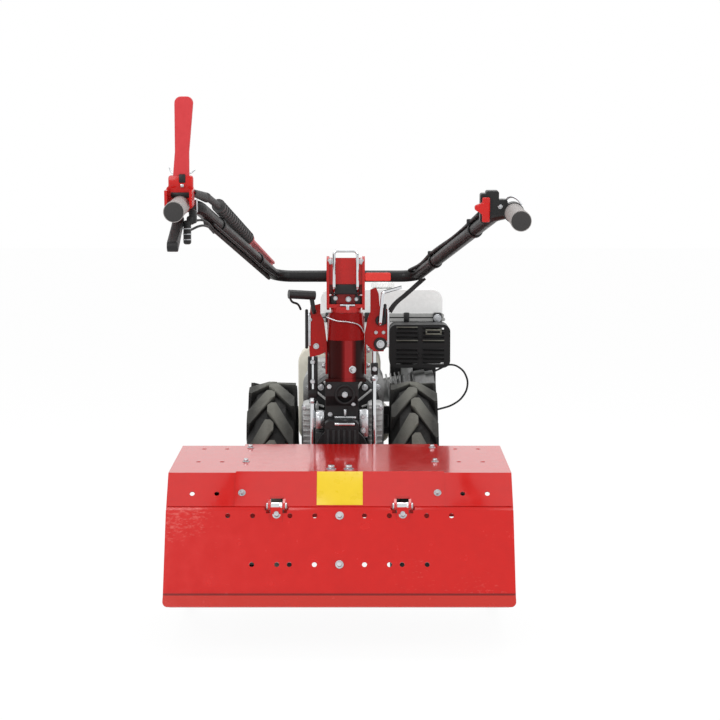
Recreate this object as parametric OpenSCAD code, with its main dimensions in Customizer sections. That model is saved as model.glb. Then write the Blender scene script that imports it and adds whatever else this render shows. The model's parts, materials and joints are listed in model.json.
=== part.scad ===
// Walking tractor with a rear rotary tiller, parked on its wheels and on the tiller's side skids.
// Millimetres. X is to the right, Y forward and Z up. The origin is on the floor under the middle
// of the machine's box. Lengths along Y below are taken from the wheel axle, and place() moves them.

/* [Wheels] */
// Outside diameter of the tyres, over the lugs
tyre_d = 460; // [444:2:468]
// Width of the tyres
tyre_w = 114; // [106:2:120]
// Distance between the wheels' middle planes
track = 340; // [334:2:356]
// Height of the tread lugs
lug_h = 17; // [12:1:20]
// Lugs on each side of a tyre
lug_count = 13; // [11:1:15]

/* [Tiller] */
// Width of the hood over its side plates
hood_w = 700; // [684:4:740]
// Width of the hood's raised middle section
middle_w = 424; // [404:4:440]
// Length of the rear flap from its top edge to the hem
flap_l = 197; // [187:2:205]
// Radius that the tips of the tines run on
tine_r = 140; // [126:2:142]
// Tines on each flange of the rotor
tine_count = 4; // [3:1:4]

/* [Handlebar] */
// Half the distance between the ends of the two grips
grip_spread = 305; // [287:3:320]
// Length of each rubber grip
grip_l = 128; // [116:2:140]
// Height of the upright red lever above its pivot
lever_h = 160; // [130:1:175]

/* [Engine] */
// Height of the fuel tank
tank_h = 148; // [130:2:160]
// Cooling fins on the cylinder
fin_count = 7; // [5:1:8]
// Louvres in each half of the exhaust guard
louvre_count = 4; // [3:1:5]

/* [Hidden] */
$fn = 48;

red = [0.80, 0.13, 0.11];
black = [0.10, 0.10, 0.11];
iron = [0.16, 0.16, 0.17];
alloy = [0.66, 0.67, 0.68];
chrome = [0.82, 0.83, 0.85];
cream = [0.93, 0.91, 0.85];
white = [0.95, 0.95, 0.94];
rubber = [0.13, 0.13, 0.13];
grip_grey = [0.62, 0.62, 0.61];
rim_grey = [0.70, 0.71, 0.72];

// Overall reach from the axle, and the running gaps
front_reach = 500;
rear_reach = 1190;
axle_y = (rear_reach - front_reach) / 2;
slip = 0.3;
sheet = 3;

// Wheels and the axle
axle_z = tyre_d / 2;
wheel_x = track / 2;
carcass_r = axle_z - lug_h;
rim_r = 128;
rim_lip = 12;
lug_run = 36;
tyre_side = wheel_x - tyre_w / 2;
engine_half = tyre_side - 13;
rail_w = 18;
rail_outer = tyre_side - 17;
bumper_half = rail_outer + 4;
case_half = rail_outer - rail_w;
axle_shaft_r = 20;
hub_inner = case_half + 16;

// Hood side profile as Y and Z: front lip, front edge, rear edge and tail
hood_line = [[-390, 306], [-416, 364], [-722, 350], [-771, 286.4]];
hood_skin = concat(hood_line, [[-762, 262]]);
hinge = [-772, 287];
flap_angle = 24;
flap_top = hinge + 9 * [-sin(flap_angle), -cos(flap_angle)];
hinge_x = 127;
hinge_gap = 24;
pin_r = 4;
hole_r = 5;
hole_pitch = 50;
half_hood = hood_w / 2;
half_middle = middle_w / 2;
wing_lap = 22;
side_floor = 150;
top_holes = [-458, -605];
wing_w = half_hood - half_middle;
wing_hole = half_middle + wing_w * 37 / 138;
wing_pitch = wing_w * 50 / 138;

// Rotor
rotor = [-590, 197];
rotor_shaft_r = 22;
flange_step = 91;
flange_first = 80;
foot_w = 44;
case_w = 56;
skid_w = 24;
skid_t = 6;
skid_line = [[-372, 60], [-388, 18], [-412, 0], [-760, 88]];

// Steering column and handlebar
column_x = 9;
column_y = -300;
post_r = 42;
post_base = 495;
post_top = 587;
cover_top = 648;
tube_z = 730;
tube_r = 13;
cross_half = 158;
bend_r = 45;
bar_sway = 10;
bar_roll = 8;
bend_l = 170;
arm_end = [grip_spread - 29, bend_l + 39 - rear_reach, 880];
grip_bend = [grip_spread, bend_l - rear_reach, 888];
grip_r = 17.5;
grip_drop = 16;
cap_r = 18.5;
bracket_t = 18;
bracket_top = 36;
grip_slant = grip_drop / norm([168, grip_drop]);
grip_end_y = -rear_reach + cap_r * grip_slant;

// Engine
crank_z = 390;
bed_z = 275;
tank_z = 524;
seam_z = tank_z + 68;
guard = [114, 266, 484, 592];
guard_y = [110, 215];
exhaust = [160, 204, 478];

// Loose engine cable: route of its middle line, from the cylinder head back to the crankcase
cable_r = 2.5;
cable_route = [
    [206, 280, 446], [206, 286, 446], [216, 291, 450], [246, 290, 464], [274, 284, 476], [300, 274, 468],
    [315, 264, 448], [318, 258, 424], [307, 254, 398], [284, 252, 378], [252, 252, 366], [210, 254, 358],
    [160, 256, 351], [124, 256, 348], [100, 256, 348]
];

function unit(v) = v / norm(v);
function left_of(v) = [-v[1], v[0]];
function mix(a, b, t) = a + (b - a) * t;
function joint_shift(a, b) = (a + b) / (1 + a * b);
function shift_line(p, t) = [
    for (i = [0:len(p) - 1])
        let (
            before = left_of(unit(p[max(i, 1)] - p[max(i, 1) - 1])),
            after = left_of(unit(p[min(i, len(p) - 2) + 1] - p[min(i, len(p) - 2)]))
        )
        p[i] + t * joint_shift(before, after)
];
function reversed(p) = [for (i = [len(p) - 1:-1:0]) p[i]];
// Mirrors a point about the column; the bar is clamped a little askew, more so towards the grips
function mirrored(p, side) =
    let (back = (column_y - p[1]) / (column_y + rear_reach))
    [column_x + side * p[0] + bar_sway * back, p[1], p[2] - side * bar_roll * back];

module place() {
    translate([0, axle_y, 0]) children();
}

// A side outline in Y and Z, extruded along X from x0
module from_side(x0, w) {
    translate([x0, 0, 0]) rotate([90, 0, 90]) linear_extrude(w) children();
}

// A front outline in X and Z, extruded forward from y0
module from_behind(y0, t) {
    translate([0, y0 + t, 0]) rotate([90, 0, 0]) linear_extrude(t) children();
}

// A bent sheet along a line, its outer face on the line
module bent_sheet(line, t) {
    polygon(concat(line, reversed(shift_line(line, t))));
}

// Two circles joined by their outer tangents
module pill(p1, r1, p2, r2) {
    d = norm(p2 - p1);
    a = atan2(p2[1] - p1[1], p2[0] - p1[0]);
    b = acos((r1 - r2) / d);
    translate(p1) circle(r1);
    translate(p2) circle(r2);
    polygon([
        p1 + r1 * [cos(a + b), sin(a + b)], p2 + r2 * [cos(a + b), sin(a + b)],
        p2 + r2 * [cos(a - b), sin(a - b)], p1 + r1 * [cos(a - b), sin(a - b)]
    ]);
}

// A rectangle with round corners, from its lower left corner
module round_rect(x, y, w, h, r) {
    translate([x + r, y]) square([w - 2 * r, h]);
    translate([x, y + r]) square([w, h - 2 * r]);
    for (i = [0, 1], j = [0, 1])
        translate([x + r + i * (w - 2 * r), y + r + j * (h - 2 * r)]) circle(r);
}

// Points children along the line from a to b, which becomes their Z axis
module along(a, b) {
    d = b - a;
    translate(a) rotate([0, acos(d[2] / norm(d)), atan2(d[1], d[0])]) children();
}

module rod(a, b, r) {
    along(a, b) cylinder(r = r, h = norm(b - a));
}

// Points of a route whose corners are bent to a radius, about twelve degrees apart on the bends
function bent_route(p, bend) = concat([p[0]], [
    for (i = [1:1:len(p) - 2])
        let (
            u = unit(p[i] - p[i - 1]),
            v = unit(p[i + 1] - p[i]),
            turn = acos(u * v),
            n = unit(v - u * (u * v)),
            middle = p[i] - u * bend * tan(turn / 2) + n * bend,
            steps = max(2, ceil(turn / 12))
        )
        for (k = [0:steps])
            middle + bend * (u * sin(turn * k / steps) - n * cos(turn * k / steps))
], [p[len(p) - 1]]);

// Side direction of the sweep at one ring, carried along from ring to ring without twist
function carried(run, i) = i == 0
    ? unit(cross(run[0], abs(run[0][0]) < 0.7 ? [1, 0, 0] : [0, 0, 1]))
    : let (n = carried(run, i - 1)) unit(n - run[i] * (n * run[i]));

// A round tube swept through the points of a route, closed at both ends
module swept(p, r, sides) {
    last = len(p) - 1;
    run = [for (i = [0:last]) i == 0 ? unit(p[1] - p[0]) : i == last ? unit(p[last] - p[last - 1])
        : unit(unit(p[i + 1] - p[i]) + unit(p[i] - p[i - 1]))];
    flat = [for (i = [0:last]) carried(run, i)];
    rings = [for (i = [0:last], k = [0:sides - 1])
        p[i] + r * (cos(360 * k / sides) * flat[i] + sin(360 * k / sides) * cross(run[i], flat[i]))];
    walls = [for (i = [0:last - 1], k = [0:sides - 1])
        let (n = (k + 1) % sides)
        [i * sides + k, i * sides + n, (i + 1) * sides + n, (i + 1) * sides + k]];
    polyhedron(rings, [for (f = concat(
        [[for (k = [sides - 1:-1:0]) k]], walls, [[for (k = [0:sides - 1]) last * sides + k]]
    )) reversed(f)]);
}

// A round bar along points, with each corner bent to a radius
module bent_bar(p, r, bend, sides = 16) {
    swept(bent_route(p, bend), r, sides);
}

// Turns a revolve about Z into one about X at the axle
module on_axle(side) {
    translate([side * wheel_x, 0, axle_z]) rotate([0, side * 90, 0]) children();
}

// Gearbox and drive line

module gearbox_case() {
    color(iron) {
        from_side(-37, 74) polygon([
            [-330, 262], [-330, 440], [-344, 462], [-344, post_base], [-256, post_base],
            [-236, 452], [-150, 415], [-60, 405], [-60, 170], [-150, 160], [-240, 200]
        ]);
        from_side(-case_half, 2 * case_half) pill([-10, axle_z], 80, [-30, 350], 60);
        translate([0, -60, crank_z]) rotate([-90, 0, 0]) cylinder(r = 92, h = 118);
        from_side(-46, 92) pill([-250, 330], 30, [-150, 300], 46);
    }
}

module axle_housing() {
    color(iron) for (side = [-1, 1])
        translate([side * case_half, 0, axle_z]) rotate([0, side * 90, 0]) difference() {
            union() {
                cylinder(r = 46, h = 8);
                cylinder(r = 40, h = hub_inner - case_half - 1);
            }
            translate([0, 0, -1]) cylinder(r = axle_shaft_r + slip, h = 40);
        }
}

module clutch_housing() {
    color(alloy) translate([0, 58, crank_z]) rotate([-90, 0, 0]) {
        cylinder(r = engine_half, h = 10);
        translate([0, 0, 10]) cylinder(r1 = engine_half - 2, r2 = engine_half - 8, h = 18);
        translate([0, 0, 28]) cylinder(r = engine_half - 2, h = 6);
    }
}

// Engine

module engine_block() {
    color(alloy) {
        from_behind(92, 168) round_rect(-engine_half, bed_z, 2 * engine_half, 205, 34);
        from_behind(110, 130) round_rect(-90, 470, 140, 30, 10);
    }
}

// The cylinder leans to the right: fins are plates across its axis, the head closes it
module engine_cylinder() {
    lean = 10;
    fin_t = 4;
    fin_half = 36;
    head_half = 31;
    barrel_l = 78;
    head_l = 28;
    fin_step = barrel_l / fin_count;
    color(alloy) translate([engine_half, 230, 416]) rotate([0, 90 - lean, 0]) {
        translate([0, 0, 8]) cylinder(r = 30, h = barrel_l);
        for (i = [0:fin_count - 1])
            translate([0, 0, 12 + i * fin_step]) linear_extrude(fin_t)
                round_rect(-fin_half, -44, 2 * fin_half, 88, 8);
        translate([0, 0, 6 + barrel_l]) linear_extrude(head_l)
            round_rect(-head_half, -50, 2 * head_half, 100, 10);
        translate([0, 0, 5 + barrel_l + head_l]) linear_extrude(22)
            round_rect(5 - head_half, -40, 2 * head_half - 10, 80, 12);
    }
    color(alloy) {
        translate([engine_half, 230, 416]) rotate([0, 90, 0]) cylinder(r = 30, h = 16);
        translate([exhaust[0], exhaust[1], 436]) cylinder(r = 15, h = exhaust[2] - 436);
    }
}

module fan_housing() {
    color(cream) difference() {
        from_behind(260, 112) {
            round_rect(-118, bed_z, 212, 249, 40);
            round_rect(40, bed_z, 78, 97, 30);
        }
        translate([0, 373, crank_z]) rotate([90, 0, 0]) cylinder(r = 70, h = 14);
    }
}

module recoil_starter() {
    slots = 10;
    color(black) translate([0, 372, crank_z]) rotate([-90, 0, 0]) difference() {
        union() {
            cylinder(r = 92, h = 16);
            translate([0, 0, 16]) cylinder(r1 = 92, r2 = 74, h = 26);
        }
        for (i = [0:slots - 1])
            rotate(i * 360 / slots) translate([44, -3, 30]) cube([24, 6, 20]);
    }
}

module fuel_tank() {
    color(white) {
        from_behind(245, 165) round_rect(-60, tank_z, 312, tank_h, 26);
        from_behind(238, 179) round_rect(-67, seam_z, 326, 9, 4);
        from_behind(240, 175) round_rect(-64, seam_z + 9, 320, 10, 4);
    }
}

module fuel_cap() {
    color(white) translate([100, 322, tank_z + tank_h]) {
        cylinder(r = 24, h = 4);
        translate([0, 0, 4]) cylinder(r1 = 30, r2 = 27, h = 14);
    }
}

module muffler() {
    color(iron) {
        from_behind(guard_y[0] + 8, guard_y[1] - guard_y[0] - 14)
            round_rect(guard[0] + 10, guard[2] + 10, guard[1] - guard[0] - 24, guard[3] - guard[2] - 20, 16);
        rod(exhaust + [0, 0, 40], exhaust, 15);
        for (z = [514, 562])
            translate([(guard[0] + guard[1]) / 2, guard_y[0] + 2, z]) rotate([-90, 0, 0]) cylinder(r = 6, h = 8);
    }
}

// Pressed exhaust guard: an open box over the silencer with two rows of louvres and a seam
module muffler_guard() {
    w = guard[1] - guard[0];
    h = guard[3] - guard[2];
    slot_w = 52;
    slot_h = 5;
    step = (h / 2 - 10) / louvre_count;
    color(black) difference() {
        from_behind(guard_y[0], guard_y[1] - guard_y[0]) round_rect(guard[0], guard[2], w, h, 18);
        from_behind(guard_y[0] + 2, guard_y[1] - guard_y[0])
            round_rect(guard[0] + 2, guard[2] + 2, w - 4, h - 4, 16);
        for (row = [0, 1], i = [0:louvre_count - 1], col = [0, 1])
            translate([
                guard[0] + 18 + col * (slot_w + 14), guard_y[0] - 1,
                guard[2] + 9 + row * h / 2 + i * step
            ]) cube([slot_w, 4, slot_h]);
        rod(exhaust + [0, 0, 30], exhaust, 17);
    }
}

module air_filter() {
    color(black) {
        from_behind(300, 118) round_rect(120, 402, 118, 96, 22);
        from_behind(418, 8) round_rect(126, 408, 106, 84, 18);
        rod([188, 302, 440], [188, 280, 440], 10);
    }
}

module engine_bed() {
    color(black) {
        for (side = [-1, 1])
            translate([side * (rail_outer - rail_w / 2) - rail_w / 2, 50, 247]) cube([rail_w, 378, bed_z - 247]);
        translate([-case_half, 300, 247]) cube([2 * case_half, 40, bed_z - 247]);
    }
}

// Bumper plate with four bolt holes for a weight, and a tube hoop in front of it
module front_bumper() {
    color(black) {
        difference() {
            from_behind(428, 10) round_rect(-bumper_half, 240, 2 * bumper_half, 110, 12);
            for (x = [-50, 50], z = [270, 325])
                translate([x, 427, z]) rotate([-90, 0, 0]) cylinder(r = 6.5, h = 12);
        }
        bent_bar([
            [-78, 438, 298], [-78, front_reach - 13, 298], [78, front_reach - 13, 298], [78, 438, 298]
        ], 13, 34);
    }
}

module engine_cable() {
    color(black) swept(cable_route, cable_r, 8);
}

// Steering column with its lever plates

module column_post() {
    color(red) {
        translate([column_x - 46, column_y - 44, post_base]) cube([92, 88, 6]);
        translate([column_x, column_y, post_base + 6]) difference() {
            union() {
                cylinder(r = post_r, h = post_top - post_base - 6);
                translate([-post_r, 0, 0]) cube([2 * post_r, 34, post_top - post_base - 6]);
            }
            translate([0, 0, -1]) cylinder(r = post_r - 5, h = 200);
            translate([5 - post_r, 0, -1]) cube([2 * post_r - 10, 40, 200]);
        }
    }
}

// Tapered cowl over the top of the post, hollow under a closed top
module column_cover() {
    h = cover_top - post_top;
    wall = 5;
    color(red) translate([column_x, column_y, post_top]) difference() {
        union() {
            cylinder(r1 = post_r, r2 = post_r - 3, h = h);
            translate([-post_r, 8, 0]) cube([2 * post_r, 26, h - 8]);
        }
        translate([0, 0, -1]) cylinder(r = post_r - 12, h = h - 6);
        translate([wall - post_r, 8, -1]) cube([2 * (post_r - wall), 40, h - 12]);
    }
}

// Two sheet plates bolted to the flat sides of the post, which carry the levers
module lever_plates() {
    flange = 30;
    color(red) {
        left = column_x - post_r - slip;
        right = column_x + post_r + slip;
        from_behind(column_y - 4, 4) polygon([
            [left, 560], [left, 575], [left - 7, 630], [left - 15, 646], [left - 15, 668], [left - 37, 663],
            [left - 43, 608], [left - 39, 547], [left - 17, 552]
        ]);
        translate([left - 4, column_y, 508]) cube([4, flange, 74]);
        translate([left - 4, column_y - 4, 508]) cube([4, 5, 60]);
        from_behind(column_y - 4, 4) polygon([
            [right, 580], [right, 600], [right + 7, 635], [right + 13, 650], [right + 13, 700], [right + 26, 705],
            [right + 32, 690], [right + 34, 662], [right + 53, 655], [right + 55, 600], [right + 43, 560],
            [right + 21, 560]
        ]);
        translate([right, column_y, 508]) cube([4, flange, 74]);
        translate([right, column_y - 4, 508]) cube([4, 5, 80]);
    }
}

module shift_rods() {
    color(chrome) {
        bent_bar([[-66, column_y + 6, 556], [-66, column_y + 6, 300], [-37, column_y + 6, 300]], 6, 12);
        bent_bar([[73, column_y + 6, 576], [73, column_y + 6, 300], [37, column_y + 6, 300]], 5, 12);
    }
}

module select_lever() {
    y = column_y - 15;
    color(chrome)
        bent_bar([[135, y, 706], [92, y, 694], [86, y, 622], [86, column_y - 4, 622]], 4, 7, 10);
}

module gear_lever() {
    color(black) {
        bent_bar([[-62, column_y - 4, 650], [-62, column_y - 32, 650], [-68, column_y - 32, 686]], 5, 10, 10);
        rod([-60, column_y - 30, 688], [-118, column_y - 48, 692], 10);
    }
}

// Tiller

module pto_coupling() {
    color(black) {
        translate([0, -384, 0]) from_behind(0, 54) round_rect(-38, 280, 76, 131, 12);
        translate([0, -352, 335]) rotate([-90, 0, 0]) cylinder(r = 60, h = 22);
    }
}

module tiller_case() {
    under = shift_line(hood_line, sheet);
    color(red) difference() {
        union() {
            from_side(-case_w / 2, case_w) pill([-424, 312], 38, rotor, 50);
            translate([0, -424, 312]) rotate([-90, 0, 0]) cylinder(r = 30, h = 40);
            from_side(-case_w / 2, case_w)
                polygon([mix(under[1], under[2], 0.1), mix(under[1], under[2], 0.45), [-520, 250], [-440, 290]]);
        }
        translate([-50, rotor[0], rotor[1]]) rotate([0, 90, 0]) cylinder(r = rotor_shaft_r + slip, h = 100);
    }
}

// Holes through the top skin of the hood, and those square to its slanted rear panel
module top_hole(x, y) {
    translate([x, y, 300]) cylinder(r = hole_r, h = 100);
}

module panel_hole(x) {
    middle = mix(hood_line[2], hood_line[3], 0.62);
    slant = atan2(hood_line[2][1] - hood_line[3][1], hood_line[2][0] - hood_line[3][0]);
    translate([x, middle[0], middle[1]]) rotate([slant, 0, 0]) translate([0, 0, -20])
        cylinder(r = hole_r, h = 40);
}

module hood_center() {
    ear_w = 5;
    color(red) {
        difference() {
            from_side(-half_middle, middle_w) bent_sheet(hood_skin, sheet);
            translate([-case_w / 2 - 6, -412, 260]) cube([case_w + 12, 60, 98]);
            for (side = [-1, 1])
                translate([side * hinge_x - hinge_gap / 2 - 2, hood_line[3][0] - 20, 255])
                    cube([hinge_gap + 4, 34, 50]);
            for (side = [-1, 1])
                translate([side * hinge_x - 22, hinge[0], hinge[1]]) rotate([0, 90, 0])
                    cylinder(r = pin_r + 0.15, h = 44);
        }
        for (side = [-1, 1], end = [-1, 1])
            from_side(side * hinge_x + end * (hinge_gap / 2 + ear_w / 2 + slip) - ear_w / 2, ear_w)
                difference() {
                    pill(hinge, 8, mix(hood_line[2], hood_line[3], 0.8) + [6, -6], 8);
                    translate(hinge) circle(pin_r + 0.15);
                }
    }
}

// Side wing: the skin carried on under the middle section, and the side plate that closes it
module hood_wing() {
    skin = shift_line(hood_skin, sheet);
    inner = half_middle - wing_lap;
    stop = flap_top + (sheet + 0.4) * [cos(flap_angle), -sin(flap_angle)];
    drop = (stop[1] - side_floor) / cos(flap_angle);
    foot = stop + drop * [-sin(flap_angle), -cos(flap_angle)];
    difference() {
        union() {
            from_side(inner, half_hood - inner) bent_sheet(skin, sheet);
            from_side(half_hood - sheet, sheet)
                polygon([skin[0], skin[1], skin[2], skin[3], stop, foot, [-470, side_floor], [-400, 230]]);
        }
        for (i = [0, 1], y = top_holes) top_hole(wing_hole + i * wing_pitch, y);
        for (i = [0, 1]) panel_hole(wing_hole + i * wing_pitch);
    }
}

module hood_wings() {
    color(red) {
        hood_wing();
        mirror([1, 0, 0]) hood_wing();
    }
}

// Curved runner under each side plate, with the two arms that bolt it to the plate
module depth_skids() {
    outer = half_hood - sheet;
    color(black) for (side = [-1, 1])
        translate([side * (outer - skid_w / 2), 0, 0]) {
            from_side(-skid_w / 2, skid_w) bent_sheet(skid_line, -skid_t);
            from_side(side > 0 ? skid_w / 2 - 6 : -skid_w / 2, 6) {
                pill([-440, 26], 14, [-470, 186], 18);
                pill([-700, 84], 10, [-690, 196], 18);
            }
        }
}

module hinge_pins() {
    color(chrome) for (side = [-1, 1])
        translate([side * hinge_x - 21, hinge[0], hinge[1]]) rotate([0, 90, 0]) cylinder(r = pin_r, h = 42);
}

module flap_frame() {
    translate([0, flap_top[0], flap_top[1]]) rotate([-flap_angle, 0, 0]) children();
}

// Rear flap: a sheet with rounded lower corners, a hem bar, hinge knuckles and two rows of holes
module rear_flap() {
    hem = 25;
    corner = 16;
    notch_w = hinge_gap + 18;
    notch_h = 6;
    rows = [[11, [1, 2, 3.5, 4.5]], [111, [1, 2, 2.5, 3.5]]];
    color(red) {
        flap_frame() difference() {
            union() {
                from_behind(0, sheet) {
                    round_rect(-half_hood, -flap_l, hood_w, 60, corner);
                    translate([-half_hood, 40 - flap_l]) square([hood_w, flap_l - 40]);
                }
                from_behind(-3.5, 4) round_rect(-half_hood, -flap_l, hood_w, hem, 10);
            }
            for (side = [-1, 1])
                translate([side * hinge_x - notch_w / 2, -10, -notch_h]) cube([notch_w, 20, notch_h + 5]);
            for (row = rows, side = [-1, 1], k = row[1])
                translate([side * k * hole_pitch, -10, -row[0]]) rotate([-90, 0, 0])
                    cylinder(r = hole_r, h = 20);
        }
        for (side = [-1, 1])
            from_side(side * hinge_x - hinge_gap / 2, hinge_gap) difference() {
                pill(hinge, 7, flap_top + 22 * [-sin(flap_angle), -cos(flap_angle)]
                    + 2 * [cos(flap_angle), -sin(flap_angle)], 3);
                translate(hinge) circle(pin_r + slip);
            }
    }
}

// One tine: a curved shank and a foot bent across the rotor
module tine(hand) {
    shank_t = 7;
    foot_t = 7;
    sweep = 26;
    color(iron) {
        translate([0, 0, -shank_t / 2]) linear_extrude(shank_t)
            pill([34, 0], 18, [tine_r - 20, 16], 15);
        translate([0, 0, hand > 0 ? -shank_t / 2 : shank_t / 2 - foot_w]) rotate(-4)
            rotate_extrude(angle = sweep) translate([tine_r - foot_t, 0]) square([foot_t, foot_w]);
    }
}

module tine_rotor() {
    flanges = [for (side = [-1, 1], k = [0:2]) side * (flange_first + k * flange_step)];
    color(iron) translate([0, rotor[0], rotor[1]]) {
        translate([-292, 0, 0]) rotate([0, 90, 0]) cylinder(r = rotor_shaft_r, h = 584);
        for (f = [0:len(flanges) - 1]) translate([flanges[f], 0, 0]) rotate([0, 90, 0]) {
            translate([0, 0, -4]) cylinder(r = 52, h = 8);
            for (t = [0:tine_count - 1])
                rotate(360 * t / tine_count + f * 22) tine(t % 2 == 0 ? 1 : -1);
        }
    }
}

// Handlebar head, which turns on the column

module head_bracket() {
    half = 43;
    cheek = 6;
    color(red) translate([column_x, column_y, 0]) {
        difference() {
            union() {
                translate([0, 0, cover_top + slip]) cylinder(r = 34, h = 14);
                translate([-half, -26, cover_top + 12]) cube([2 * half, 52, 8]);
                for (side = [-1, 1])
                    from_side(side > 0 ? half - cheek : -half, cheek)
                        round_rect(-27, cover_top + 6, 54, 121, 22);
                translate([-half + cheek, -22, 712]) cube([2 * (half - cheek), 4, 60]);
                translate([1 - half, -6, cover_top + 16]) cube([2 * half - 2, 5, 48]);
            }
            translate([-60, 0, tube_z]) rotate([0, 90, 0]) cylinder(r = tube_r + slip, h = 120);
        }
    }
}

module lock_bail() {
    y = column_y - 36;
    foot = 688;
    color(chrome) bent_bar([
        [column_x - 37, column_y - 14, foot], [column_x - 26, column_y - 14, foot],
        [column_x - 26, y, foot + 20], [column_x - 26, y, 788], [column_x + 26, y, 788],
        [column_x + 26, y, foot + 20], [column_x + 26, column_y - 14, foot],
        [column_x + 37, column_y - 14, foot]
    ], 3.5, 8, 10);
}

module lock_lever() {
    color(red) from_behind(column_y - 26, 5) round_rect(column_x + 43, 720, 58, 19, 4);
}

// Handlebar, which tilts in the head

module handlebar_tube() {
    plug = mix(grip_bend, [grip_spread, grip_end_y, grip_bend[2] - grip_drop], 0.9);
    foot = [cross_half, column_y, tube_z];
    color(black) bent_bar([
        mirrored(plug, -1), mirrored(grip_bend, -1), mirrored(arm_end, -1), mirrored(foot, -1),
        mirrored(foot, 1), mirrored(arm_end, 1), mirrored(grip_bend, 1), mirrored(plug, 1)
    ], tube_r, bend_r, 20);
}

function grip_tip(side) = mirrored([grip_spread, grip_end_y, grip_bend[2] - grip_drop], side);
function grip_axis(side) = unit(grip_tip(side) - mirrored(grip_bend, side));

// Rubber sleeves over the ends of the tube, each with a closed cap
module grips() {
    color(grip_grey) for (side = [-1, 1]) {
        start = grip_tip(side) - grip_axis(side) * grip_l;
        difference() {
            union() {
                rod(start, grip_tip(side), grip_r);
                rod(grip_tip(side) - grip_axis(side) * 14, grip_tip(side), cap_r);
            }
            rod(start - grip_axis(side), grip_tip(side) - grip_axis(side) * 12, tube_r + slip);
        }
    }
}

// Moves children to a grip: Z runs along it to its tip, X points down and Y to the right
module on_grip(side, back) {
    along(grip_tip(side) - grip_axis(side) * back, grip_tip(side)) children();
}

// Cast bracket clamped inside the left grip, with two cheeks that straddle it
module lever_bracket() {
    color(red) on_grip(-1, grip_l + bracket_t + 2) {
        linear_extrude(bracket_t) difference() {
            union() {
                round_rect(-bracket_top, -25, bracket_top + 6, 50, 8);
                circle(tube_r + 5);
            }
            circle(tube_r + slip);
        }
        for (y = [-25, 20])
            translate([6 - bracket_top, y, bracket_t - 1]) cube([bracket_top - 8, 5, 40]);
    }
}

// Upright lever on the bracket, waisted in the middle and broad at its rounded tip
module engage_lever() {
    tip = -bracket_top - lever_h + 11;
    waist = mix(-bracket_top - 14, tip, 0.35);
    lean = 9;
    color(red) on_grip(-1, grip_l + bracket_t - 1) linear_extrude(12) {
        hull() {
            translate([-bracket_top - 14, -13]) square([14, 30]);
            translate([waist, lean / 2]) circle(13);
        }
        hull() {
            translate([waist, lean / 2]) circle(13);
            for (y = [-5, 5]) translate([tip, lean + y]) circle(12);
        }
    }
}

module clutch_lever() {
    reach = grip_l + 6;
    color(black) on_grip(-1, grip_l + bracket_t + 2) {
        translate([0, 6, 0]) rotate([90, 0, 0]) linear_extrude(20) pill([28, 8], 6, [62, reach], 10);
        difference() {
            translate([10, -10, 2]) cube([18, 12, 12]);
            translate([0, 0, -1]) cylinder(r = tube_r + 5, h = bracket_t);
        }
    }
}

// Throttle control clamped inside the right grip, and its thumb lever
module throttle_housing() {
    color(black) on_grip(1, grip_l + 25) linear_extrude(24) difference() {
        union() {
            circle(19);
            round_rect(-24, -32, 28, 20, 4);
            round_rect(-40, -52, 45, 24, 4);
            round_rect(-35, -62, 53, 20, 4);
        }
        circle(tube_r + slip);
    }
}

module throttle_lever() {
    color(red) on_grip(1, grip_l + 1) linear_extrude(9) polygon([
        [-29, -45], [-29, -59], [-20, -59], [-14, -73], [-7, -73], [2, -59], [16, -59], [16, -45]
    ]);
}

function arm_point(side, s, lift) =
    let (
        foot = mirrored([cross_half, column_y, tube_z], side),
        head = mirrored(arm_end, side),
        d = unit(head - foot),
        up = unit([0, 0, 1] - d * d[2])
    )
    mix(foot, head, s) + lift * up;

// Long lever that lies over the left arm: a flat shank and a ribbed hand grip
module reverse_lever() {
    ribs = 16;
    shank_start = arm_point(-1, 0.07, 21);
    grip_start = arm_point(-1, 0.4, 27.5);
    grip_stop = arm_point(-1, 0.85, 28) + [10, 0, 0];
    boot = arm_point(-1, 0.98, 26) + [8, 0, 0];
    step = norm(grip_stop - grip_start) / ribs;
    color(black) {
        along(shank_start, mix(grip_start, grip_stop, 0.05))
            translate([-2.5, -7, 0]) cube([5, 14, norm(mix(grip_start, grip_stop, 0.05) - shank_start)]);
        rod(arm_point(-1, 0.09, tube_r + slip), arm_point(-1, 0.09, 22), 6);
        along(grip_start, grip_stop) for (i = [0:ribs - 1])
            translate([0, 0, i * step]) cylinder(r1 = 11.5, r2 = 13.5, h = step + 0.5);
        rod(mix(grip_start, grip_stop, 0.95), boot, 7);
    }
}

// Control cables tied along the arms: under the left arm, over the right one
module control_cables() {
    off = tube_r + 4 + slip;
    color(black) for (side = [-1, 1])
        swept([arm_point(side, 0.93, side * off), arm_point(side, 0.1, side * off)], 4, 8);
}

// Wheels

// Profile of the casing from bead to bead, turned about the axle
module tyre_carcass() {
    half = tyre_w / 2;
    bead = 34;
    rotate_extrude($fn = 48) polygon([
        [rim_r, -bead], [rim_r + 14, -bead], [rim_r + 40, -half], [carcass_r - 22, 3 - half],
        [carcass_r, 22 - half], [carcass_r, half - 22],
        [carcass_r - 22, half - 3], [rim_r + 40, half], [rim_r + 14, bead], [rim_r, bead]
    ]);
}

// Block of a lug at an angle round the tyre, with its outer corners on the rolling circle
module lug_block(angle, z, w, run, inner, outer) {
    rotate(angle) translate([inner, -run / 2, z - w / 2])
        cube([sqrt(outer * outer - run * run / 4) - inner, run, w]);
}

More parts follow.
